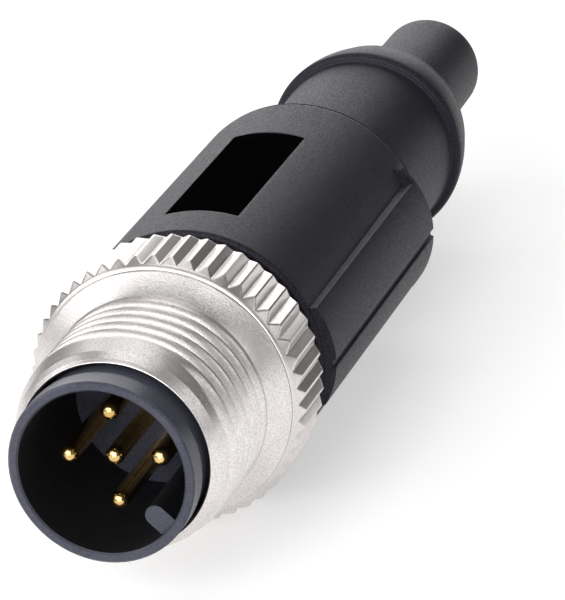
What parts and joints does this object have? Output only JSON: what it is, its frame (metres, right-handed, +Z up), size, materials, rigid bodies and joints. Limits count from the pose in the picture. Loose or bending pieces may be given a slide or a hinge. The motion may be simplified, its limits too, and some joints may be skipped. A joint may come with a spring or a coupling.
{
  "type": "round threaded plug connector",
  "caption": "Straight round plug with a free-turning threaded metal nut, gold pins in a keyed shroud and a closed black moulded grip with flange and stub.",
  "frame": {"origin": "middle of the object's box, at its lowest point, on the surface it lies on", "axes": "+Y along the plug's axis from the mating end to the rear stub, +Z up through the bare rating field, side pads towards +X and -X"},
  "size_m": [0.0156, 0.0634, 0.0153],
  "materials": {
    "carrier_plastic": "fine satin",
    "contact_plating": "polished plating",
    "nut_plating": "satin plating, lightly grained",
    "core_plastic": "matt",
    "ceramic_rod": "matt ceramic",
    "tinned_metal": "tinned",
    "resistor_coating": "lacquered",
    "sleeve_plastic": "plain tube",
    "solder": "dull bright",
    "grip_plastic": "fine matt grain"
  },
  "bodies": {
    "plug": {"contact_carrier": "carrier_plastic", "contact_pin_right": "contact_plating", "contact_pin_top": "contact_plating", "contact_pin_left": "contact_plating", "contact_pin_bottom": "contact_plating", "contact_pin_centre": "contact_plating", "inner_mould": "core_plastic", "resistor_core": "ceramic_rod", "resistor_cap_front": "tinned_metal", "resistor_cap_rear": "tinned_metal", "resistor_coat": "resistor_coating", "lead_front": "tinned_metal", "lead_rear": "tinned_metal", "lead_sleeve": "sleeve_plastic", "solder_centre": "solder", "solder_bottom": "solder", "grip_body": "grip_plastic"},
    "nut": {"coupling_nut": "nut_plating"}
  },
  "joints": [
    {"name": "nut_turn", "type": "hinge", "parent": "plug", "child": "nut", "pos_m": [0, -0.02174, 0.00764], "axis": [0, -1, 0], "continuous": true}
  ]
}
